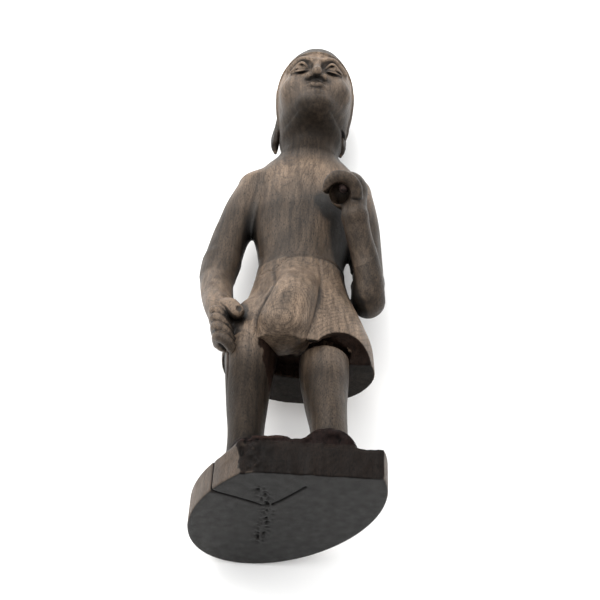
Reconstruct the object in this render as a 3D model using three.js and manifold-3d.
// Carved ancestor figure: one hardwood log carved into a standing man, split here along its carved regions.
//
// Millimetres, +Z up. The figure faces -Y, so its own left side is +X.
// The figure is drawn around the middle of its plinth, and the whole group is centred on its own box at the end.
import * as THREE from 'three';
import { mergeVertices } from 'three/addons/utils/BufferGeometryUtils.js';
import Module from 'manifold-3d';

const wasm = await Module();
wasm.setup();

// ---- Driving dimensions ----
const GAP = 0.3;                    // clearance that separates neighbouring regions
const HEIGHT = 304;                 // sole to crown
const FAR = 400;                    // size of the blocks that cut half of space away
const MERGE = 1e-4;                 // points closer than this are one point

const PLINTH_THICK = 14;
const PLINTH_LONG = 50;             // half axes of the log's oval section
const PLINTH_SHORT = 33;
const PLINTH_TURN = THREE.MathUtils.degToRad(-51);
const PLINTH_MIDDLE = [-1.3, -0.5];
const TOE_RIDGE = { centre: [-3, -29, 14], radii: [17, 6, 4.2] };      // rough wood left between the feet
const PLINTH_SEGMENTS = 56;
const BREAK_Y = -31;                // plane where the front of the log broke away with the feet

const HEM_Z = 75;                   // flat-cut lower rim of the kilt
const HEM_ROOF_Z = 81;              // roof of the undercut behind the rim
const WAIST_Z = 131;                // carved line where the kilt meets the bare torso
const NECK_Z = 210;                 // carved foot of the neck
const CAP_Z = 280;                  // height of the cap's edge at the middle of the head
const CAP_TILT = THREE.MathUtils.degToRad(14);

const AROUND = 20;                  // sides of a body section
const AROUND_SMALL = 12;            // sides of a finger, ear or stub
const AROUND_LIMB = 16;             // sides of the balls that a bent limb is made of
const LIMB_STEPS = 2;               // balls between two stations of a bent limb
const STEPS_PER_SPAN = 3;           // rings between two stations
const DOME_ANGLES = [25, 50, 72];   // degrees of the rings on a domed end

// Stations of the lofted regions: [x, y, z, half width, half depth].
const TORSO = [
  [-0.4, 0, 118, 23.4, 17],
  [-0.4, 0, 133, 20.9, 15.3],
  [-0.2, 1, 147, 22.4, 15.5],
  [0, 1.6, 158, 25, 16.2],
  [0, 2, 167, 26.4, 16.6],
  [-0.2, 2.5, 182, 27, 16.5],
  [-0.2, 3, 194, 26.6, 15.4],
  [0, 3.2, 203, 24.6, 14.2],
  [0.1, 3.4, 211, 21.6, 13.3],
];
const KILT = [
  [1.4, 0, 75, 34, 25.5],
  [1.4, 0, 82, 34, 25.4],
  [1.4, 0, 90, 33, 24.6],
  [1, 0, 98, 30.6, 23.4],
  [0.4, 0, 106, 28, 21.8],
  [0, 0, 113, 25.4, 20],
  [-0.2, 0, 120, 23.2, 18],
  [-0.4, 0, 133, 20.9, 15.3],
];
const UNDERCUT = [                  // hollow cut up between the thighs, behind the rim
  [1, -7.6, HEM_Z - 1, 23, 15.6],
  [1, -7.6, HEM_ROOF_Z, 22, 15],
];
const APRON = [
  [-2.4, -9, 127, 10.5, 5],
  [-2.2, -13, 116, 11.4, 8.8],
  [-3, -16, 105, 12.4, 12],
  [-4.6, -17.8, 94, 12.6, 13.4],
  [-6, -17.8, 85, 12.4, 13],
  [-6.8, -16.8, 78, 11.2, 11],
];
const APRON_DOME = 0.5;             // the panel hangs with a blunt lower end
const LEG_RIGHT = [
  [-20.2, -7.6, 84, 12.2, 14.2],
  [-20.4, -7.8, 76, 11.9, 14],
  [-20.5, -9, 66, 10.9, 12.6],
  [-20.2, -11, 47, 9.1, 10.4],
  [-19.4, -14.5, 28, 7.6, 9.6],
  [-19.2, -16, 14, 7.6, 9.6],
];
const LEG_LEFT = [
  [12.2, -5, 84, 11.4, 12.6],
  [12.6, -7.4, 66, 11.1, 11.8],
  [13.7, -11, 48, 9.2, 10.6],
  [15.4, -14, 31, 7.8, 9.6],
  [15.8, -15.5, 14, 7.8, 9.6],
];
const FOOT_RIGHT = { centre: [-18.6, -22, 14], radii: [8, 10.4, 5.6] };
const FOOT_LEFT = { centre: [15, -22, 14], radii: [12.5, 14, 11] };

const NECK = [
  [0.3, 3.2, 200, 21, 13.6],
  [0.2, 3.4, 211, 21, 13.2],
  [0.3, 3.3, 217, 18, 13],
  [0.6, 3, 224, 15.4, 13.3],
  [0.9, 2.8, 230, 16.2, 14.2],
  [1.2, 2.6, 237, 17.2, 15.4],
  [1.4, 2.8, 244, 17.6, 16],
];
const HEAD = [
  [2, -6.4, 237, 12.4, 15.5],
  [2, -3, 245, 18.2, 21.6],
  [2, 0, 258, 20.8, 25.2],
  [2, 1, 270, 21.4, 26],
  [2, 1, 281, 20.3, 24.7],
  [2, 1, 290, 17.6, 21.4],
  [2, 1, 297, 13.4, 16.3],
  [2, 1, 301.4, 8.8, 10.7],
  [2, 1, 303.2, 5, 6.1],
];
const HEAD_ENDS = { dome: 0.55, lastDome: 0.12 };     // the jaw is rounded, and the crown ends nearly flat
const CAP_SWELL = 0.9;              // how far the cap stands proud of the head
const NOSE = [
  [2, -23, 270, 2.4, 2.4],
  [2, -26, 262, 3.2, 2.8],
  [2, -27, 257, 4.6, 3.2],
];
const EAR = { middle: -0.8, out: 19.2, y: 6.4, z: 245, radii: [2.5, 5.2, 13] };
const EAR_TILT = THREE.MathUtils.degToRad(-12);

const UPPER_ARM_RIGHT = [
  [-25.5, 3.3, 194, 9.8, 10.4],
  [-31.2, 3.5, 181, 10, 10.2],
  [-34.4, 3.8, 170, 9.4, 9.6],
  [-37.6, 4, 157, 9.2, 9.2],
  [-40, 3.5, 141, 9, 8.8],
];
const FOREARM_RIGHT = [
  [-40, 3.5, 141, 9, 8.8],
  [-40.9, 1, 128, 8.3, 8.4],
  [-39, -5.5, 111, 7.4, 8],
  [-36, -12.6, 97, 6.8, 7.2],
];
const UPPER_ARM_LEFT = [
  [24, 3.6, 193, 9.6, 10.2],
  [29, 5, 177, 9.4, 9.8],
  [31.6, 6, 157, 8.4, 9],
  [33, 6, 136, 8, 8.8],
];
const FOREARM_LEFT = [              // round, so [x, y, z, radius]
  [33, 6, 136, 8.2],
  [32.8, 4, 125, 8.2],
  [32.6, -1.6, 118.4, 8.2],
  [32.2, -7, 127, 7.2],
  [30, -11.4, 137, 6.6],
  [26.8, -16.8, 146, 6.3],
  [24.4, -22.2, 154, 6.4],
];
const HAND_LEFT = { centre: [20.4, -25, 166.6], radii: [10, 9.4, 13.4] };
const GRIP = { from: [15.9, -37, 157], to: [16.7, -24, 171], radius: 5 };
const STUB = { from: [18.6, -22.6, 173.6], to: [18, -29, 166.6], radius: 2.1 };

const HAND_RIGHT = { centre: [-34, -16.8, 82.5], radii: [6.4, 8, 12] };
const FINGER_RADIUS = 2.9;
const FINGER_SPACING = 4.6;
const FINGERS = 4;
const FINGER_TOP = [-36, -21, 85];           // knuckle of the uppermost finger
const FINGER_ROOT = [-1.6, 6, 2];            // from a knuckle back to the palm
const FINGER_TIP = [5.4, -0.6, -2.4];        // from a knuckle to its fingertip
const THUMB = [
  [-37, -15.5, 94, 3.2, 3.2],
  [-31.5, -19.8, 92.5, 3.3, 3.3],
  [-27.2, -22, 87.5, 2.9, 2.9],
];

// ---- Materials: every region has its own, all of one dark oiled hardwood ----
const WOOD = {
  body: { color: '#544b42', roughness: 0.5 },
  kilt: { color: '#6b5e50', roughness: 0.5 },
  cut: { color: '#3a3734', roughness: 0.6 },
  broken: { color: '#352f2c', roughness: 0.8 },
};

function woodMaterial(look) {
  return new THREE.MeshStandardMaterial({ ...look, metalness: 0 });
}

// ---- Solids ----
function toSolid(geometry) {
  const bare = geometry.index ? geometry.clone() : geometry;
  bare.deleteAttribute('normal');
  bare.deleteAttribute('uv');
  const merged = mergeVertices(bare, MERGE);
  const mesh = new wasm.Mesh({
    numProp: 3,
    vertProperties: new Float32Array(merged.attributes.position.array),
    triVerts: new Uint32Array(merged.index.array),
  });
  return new wasm.Manifold(mesh);
}

function toGeometry(solid) {
  const { vertProperties, triVerts } = solid.getMesh();
  const geometry = new THREE.BufferGeometry();
  geometry.setAttribute('position', new THREE.BufferAttribute(vertProperties, 3));
  geometry.setIndex(new THREE.BufferAttribute(triVerts, 1));
  geometry.computeVertexNormals();
  return geometry;
}

// Closed skin over a stack of rings, each with the same number of points, with a tip point at both ends.
function skin(rings, firstTip, lastTip) {
  const around = rings[0].length;
  const points = [...rings.flat(), firstTip, lastTip];
  const first = points.length - 2;
  const last = points.length - 1;
  const triangles = [];
  for (let side = 0; side < around; side += 1) {
    const next = (side + 1) % around;
    triangles.push(first, next, side);
    const top = (rings.length - 1) * around;
    triangles.push(last, top + side, top + next);
    for (let ring = 0; ring + 1 < rings.length; ring += 1) {
      const low = ring * around;
      const high = low + around;
      triangles.push(low + side, low + next, high + next, low + side, high + next, high + side);
    }
  }
  const geometry = new THREE.BufferGeometry();
  geometry.setAttribute('position', new THREE.Float32BufferAttribute(points.flatMap((p) => [p.x, p.y, p.z]), 3));
  geometry.setIndex(triangles);
  return geometry;
}

// Loft through stations [x, y, z, half width, half depth], with elliptical sections square to its path.
// Every section is grown by `grow`. A `dome` of 1 rounds both ends like half spheres, and 0 leaves them flat.
// A `lastDome` is for the last end alone.
function loft(stations, { grow = 0, around = AROUND, dome = 1, lastDome = dome } = {}) {
  const path = new THREE.CatmullRomCurve3(stations.map(([x, y, z]) => new THREE.Vector3(x, y, z)));
  const sizes = new THREE.CatmullRomCurve3(
    stations.map(([, , , wide, deep]) => new THREE.Vector3(wide + grow, deep + grow, 0)),
  );
  const rings = [];
  const addRing = (centre, along, wide, deep) => {
    const across = new THREE.Vector3(1, 0, 0).addScaledVector(along, -along.x).normalize();
    const depth = along.clone().cross(across);
    rings.push(Array.from({ length: around }, (_, side) => {
      const turn = (2 * Math.PI * side) / around;
      return centre.clone()
        .addScaledVector(across, wide * Math.cos(turn))
        .addScaledVector(depth, deep * Math.sin(turn));
    }));
  };
  const closeEnd = (t, sign, roundness) => {
    const centre = path.getPoint(t);
    const along = path.getTangent(t);
    const size = sizes.getPoint(t);
    const rise = roundness > 0 ? roundness * Math.min(size.x, size.y) : grow;
    const angles = roundness > 0 ? DOME_ANGLES : [];
    const domeRings = angles.map((angle) => {
      const turn = THREE.MathUtils.degToRad(angle);
      const at = centre.clone().addScaledVector(along, sign * rise * Math.sin(turn));
      return [at, along, size.x * Math.cos(turn), size.y * Math.cos(turn)];
    });
    return { domeRings, tip: centre.clone().addScaledVector(along, sign * rise) };
  };
  const start = closeEnd(0, -1, dome);
  const end = closeEnd(1, 1, lastDome);
  start.domeRings.reverse().forEach((ring) => addRing(...ring));
  const steps = (stations.length - 1) * STEPS_PER_SPAN;
  for (let step = 0; step <= steps; step += 1) {
    const t = step / steps;
    const size = sizes.getPoint(t);
    addRing(path.getPoint(t), path.getTangent(t), size.x, size.y);
  }
  end.domeRings.forEach((ring) => addRing(...ring));
  return toSolid(skin(rings, start.tip, end.tip));
}

// Round limb through stations [x, y, z, radius], which may bend more tightly than its own thickness.
function limb(stations) {
  const path = new THREE.CatmullRomCurve3(stations.map(([x, y, z]) => new THREE.Vector3(x, y, z)));
  const sizes = new THREE.CatmullRomCurve3(stations.map(([, , , radius]) => new THREE.Vector3(radius, 0, 0)));
  const steps = (stations.length - 1) * LIMB_STEPS;
  const balls = Array.from({ length: steps + 1 }, (_, step) => {
    const radius = sizes.getPoint(step / steps).x;
    const centre = path.getPoint(step / steps).toArray();
    return ellipsoid({ centre, radii: [radius, radius, radius] }, 0, AROUND_LIMB);
  });
  const links = balls.slice(1).map((ball, before) => wasm.Manifold.hull([balls[before], ball]));
  return links.reduce((joined, link) => joined.add(link));
}

function ellipsoid({ centre, radii }, grow = 0, around = AROUND) {
  const sphere = new THREE.SphereGeometry(1, around, around / 2);
  sphere.scale(radii[0] + grow, radii[1] + grow, radii[2] + grow);
  sphere.translate(...centre);
  return toSolid(sphere);
}

// Half of space on the far side of a plane through `point`, as a large block.
function beyond(point, normal) {
  const block = new THREE.BoxGeometry(FAR, FAR, FAR);
  block.translate(0, 0, FAR / 2);
  const turn = new THREE.Quaternion().setFromUnitVectors(
    new THREE.Vector3(0, 0, 1),
    new THREE.Vector3(...normal).normalize(),
  );
  block.applyQuaternion(turn);
  block.translate(...point);
  return toSolid(block);
}

const above = (z) => beyond([0, 0, z], [0, 0, 1]);
const below = (z) => beyond([0, 0, z], [0, 0, -1]);
const brokenFront = () => beyond([0, BREAK_Y, 0], [0, -1, 0]);

function rod({ from, to, radius }, grow = 0) {
  const [start, end] = [new THREE.Vector3(...from), new THREE.Vector3(...to)];
  const cylinder = new THREE.CylinderGeometry(radius + grow, radius + grow, start.distanceTo(end), AROUND_SMALL);
  const axis = end.clone().sub(start).normalize();
  cylinder.applyQuaternion(new THREE.Quaternion().setFromUnitVectors(new THREE.Vector3(0, 1, 0), axis));
  cylinder.translate(...start.clone().lerp(end, 0.5).toArray());
  return toSolid(cylinder);
}

// ---- Regions of the carving ----
function makePlinth() {
  const outline = new THREE.Shape();
  outline.absellipse(...PLINTH_MIDDLE, PLINTH_LONG, PLINTH_SHORT, 0, 2 * Math.PI, false, PLINTH_TURN);
  const slab = new THREE.ExtrudeGeometry(outline, {
    depth: PLINTH_THICK,
    bevelEnabled: false,
    curveSegments: PLINTH_SEGMENTS,
  });
  return toSolid(slab)
    .add(ellipsoid(TOE_RIDGE))
    .subtract(brokenFront())
    .subtract(ellipsoid(FOOT_RIGHT, GAP).subtract(below(PLINTH_THICK)))
    .subtract(ellipsoid(FOOT_LEFT, GAP).subtract(below(PLINTH_THICK)))
    .subtract(loft(LEG_RIGHT, { grow: GAP, dome: 0 }).subtract(below(PLINTH_THICK)))
    .subtract(loft(LEG_LEFT, { grow: GAP, dome: 0 }).subtract(below(PLINTH_THICK)));
}

function makeLeg(stations) {
  return loft(stations, { dome: 0 })
    .subtract(above(HEM_ROOF_Z - GAP))
    .subtract(below(PLINTH_THICK + GAP));
}

function makeFootStump(foot, legStations) {
  return ellipsoid(foot)
    .subtract(below(PLINTH_THICK + GAP))
    .subtract(brokenFront())
    .subtract(beyond([0, foot.centre[1] + GAP, 0], [0, 1, 0]))
    .subtract(loft(legStations, { grow: GAP, dome: 0 }));
}

function makeKilt() {
  return loft(KILT, { dome: 0 })
    .subtract(above(WAIST_Z - GAP / 2))
    .subtract(loft(UNDERCUT, { dome: 0 }))
    .subtract(loft(LEG_RIGHT, { grow: GAP, dome: 0 }).subtract(above(HEM_ROOF_Z)))
    .subtract(loft(LEG_LEFT, { grow: GAP, dome: 0 }).subtract(above(HEM_ROOF_Z)));
}

function makeApron() {
  const legs = loft(LEG_RIGHT, { grow: GAP, dome: 0 }).add(loft(LEG_LEFT, { grow: GAP, dome: 0 }));
  return loft(APRON, { dome: APRON_DOME })
    .subtract(loft(KILT, { grow: GAP, dome: 0 }))
    .subtract(legs);
}

function makeTorso() {
  return loft(TORSO, { dome: 0 })
    .subtract(below(WAIST_Z + GAP / 2))
    .subtract(above(NECK_Z - GAP / 2));
}

function makeNeck() {
  return loft(NECK, { dome: 0 })
    .subtract(below(NECK_Z + GAP / 2))
    .subtract(loft(HEAD, { grow: GAP, ...HEAD_ENDS }));
}

const capPlane = [0, Math.sin(CAP_TILT), Math.cos(CAP_TILT)];     // square to the cap's edge, pointing up

function makeHead() {
  return loft(HEAD, HEAD_ENDS)
    .add(loft(NOSE, { around: AROUND_SMALL }))
    .subtract(beyond([0, 0, CAP_Z - GAP / 2], capPlane));
}

function makeCap() {
  const under = beyond([0, 0, CAP_Z + GAP / 2], capPlane.map((part) => -part));
  return loft(HEAD, { grow: CAP_SWELL, ...HEAD_ENDS }).subtract(under);
}

function makeEar(side) {
  const shell = new THREE.SphereGeometry(1, AROUND_SMALL, AROUND_SMALL / 2);
  shell.scale(...EAR.radii);
  shell.rotateX(EAR_TILT);
  shell.translate(EAR.middle + side * EAR.out, EAR.y, EAR.z);
  return toSolid(shell)
    .subtract(loft(HEAD, { grow: GAP, ...HEAD_ENDS }))
    .subtract(loft(NECK, { grow: GAP }));
}

function makeUpperArm(stations) {
  return loft(stations)
    .subtract(loft(TORSO, { grow: GAP, dome: 0 }))
    .subtract(pastEnd(stations, -GAP / 2));
}

// Half of space beyond the joint that ends a limb, or before it, shifted along the limb by `offset`.
function pastEnd(stations, offset, side = 1) {
  const [before, last] = stations.slice(-2).map(([x, y, z]) => new THREE.Vector3(x, y, z));
  const along = last.clone().sub(before).normalize();
  const at = last.addScaledVector(along, offset);
  return beyond(at.toArray(), along.multiplyScalar(side).toArray());
}

const beforeEnd = (stations, offset) => pastEnd(stations, offset, -1);

// Trunk and kilt with their clearance, which the arms and hands keep off.
const body = () => loft(KILT, { grow: GAP, dome: 0 }).add(loft(TORSO, { grow: GAP, dome: 0 }));

function makeForearmRight() {
  return loft(FOREARM_RIGHT)
    .subtract(beforeEnd(UPPER_ARM_RIGHT, GAP / 2))
    .subtract(body())
    .subtract(rightFist(GAP));
}

function makeForearmLeft() {
  const upperArm = loft(UPPER_ARM_LEFT, { grow: GAP }).subtract(pastEnd(UPPER_ARM_LEFT, GAP / 2));
  return limb(FOREARM_LEFT)
    .subtract(upperArm)
    .subtract(pastEnd(FOREARM_LEFT, -GAP / 2))
    .subtract(body());
}

function makeHandLeft() {
  return ellipsoid(HAND_LEFT)
    .subtract(beforeEnd(FOREARM_LEFT, GAP / 2))
    .subtract(rod(GRIP))
    .subtract(rod(STUB, GAP))
    .subtract(body());
}

// Clenched hand: a palm, four curled fingers below one another, and the thumb laid over the top.
function rightFist(grow = 0) {
  let fist = ellipsoid(HAND_RIGHT, grow);
  for (let finger = 0; finger < FINGERS; finger += 1) {
    const drop = [0, 0, -finger * FINGER_SPACING];
    const stations = [FINGER_ROOT, [0, 0, 0], FINGER_TIP].map((step) => [
      ...step.map((part, axis) => part + FINGER_TOP[axis] + drop[axis]),
      FINGER_RADIUS,
      FINGER_RADIUS,
    ]);
    fist = fist.add(loft(stations, { grow, around: AROUND_SMALL }));
  }
  return fist.add(loft(THUMB, { grow, around: AROUND_SMALL }));
}

function makeHandRight() {
  const legs = loft(LEG_RIGHT, { grow: GAP, dome: 0 });
  return rightFist().subtract(body()).subtract(legs).subtract(loft(APRON, { grow: GAP, dome: APRON_DOME }));
}

// ---- Assembly ----
const regions = [
  ['plinth', makePlinth(), woodMaterial(WOOD.cut)],
  ['foot_stump_right', makeFootStump(FOOT_RIGHT, LEG_RIGHT), woodMaterial(WOOD.broken)],
  ['foot_stump_left', makeFootStump(FOOT_LEFT, LEG_LEFT), woodMaterial(WOOD.broken)],
  ['leg_right', makeLeg(LEG_RIGHT), woodMaterial(WOOD.body)],
  ['leg_left', makeLeg(LEG_LEFT), woodMaterial(WOOD.body)],
  ['kilt', makeKilt(), woodMaterial(WOOD.kilt)],
  ['apron', makeApron(), woodMaterial(WOOD.kilt)],
  ['torso', makeTorso(), woodMaterial(WOOD.body)],
  ['neck', makeNeck(), woodMaterial(WOOD.body)],
  ['head', makeHead(), woodMaterial(WOOD.body)],
  ['cap', makeCap(), woodMaterial(WOOD.kilt)],
  ['ear_right', makeEar(-1), woodMaterial(WOOD.body)],
  ['ear_left', makeEar(1), woodMaterial(WOOD.body)],
  ['upper_arm_right', makeUpperArm(UPPER_ARM_RIGHT), woodMaterial(WOOD.body)],
  ['forearm_right', makeForearmRight(), woodMaterial(WOOD.body)],
  ['hand_right', makeHandRight(), woodMaterial(WOOD.body)],
  ['upper_arm_left', makeUpperArm(UPPER_ARM_LEFT), woodMaterial(WOOD.body)],
  ['forearm_left', makeForearmLeft(), woodMaterial(WOOD.body)],
  ['hand_left', makeHandLeft(), woodMaterial(WOOD.body)],
  ['staff_stub', rod(STUB), woodMaterial(WOOD.broken)],
];

const figure = new THREE.Group();
for (const [name, solid, material] of regions) {
  const mesh = new THREE.Mesh(toGeometry(solid), material);
  mesh.name = name;
  figure.add(mesh);
}

// The origin is the middle of the whole object's footprint, on the surface that it stands on.
const box = new THREE.Box3().setFromObject(figure);
const middle = box.getCenter(new THREE.Vector3());
figure.position.set(-middle.x, -middle.y, 0);
figure.scale.z = HEIGHT / box.max.z;

export default figure;
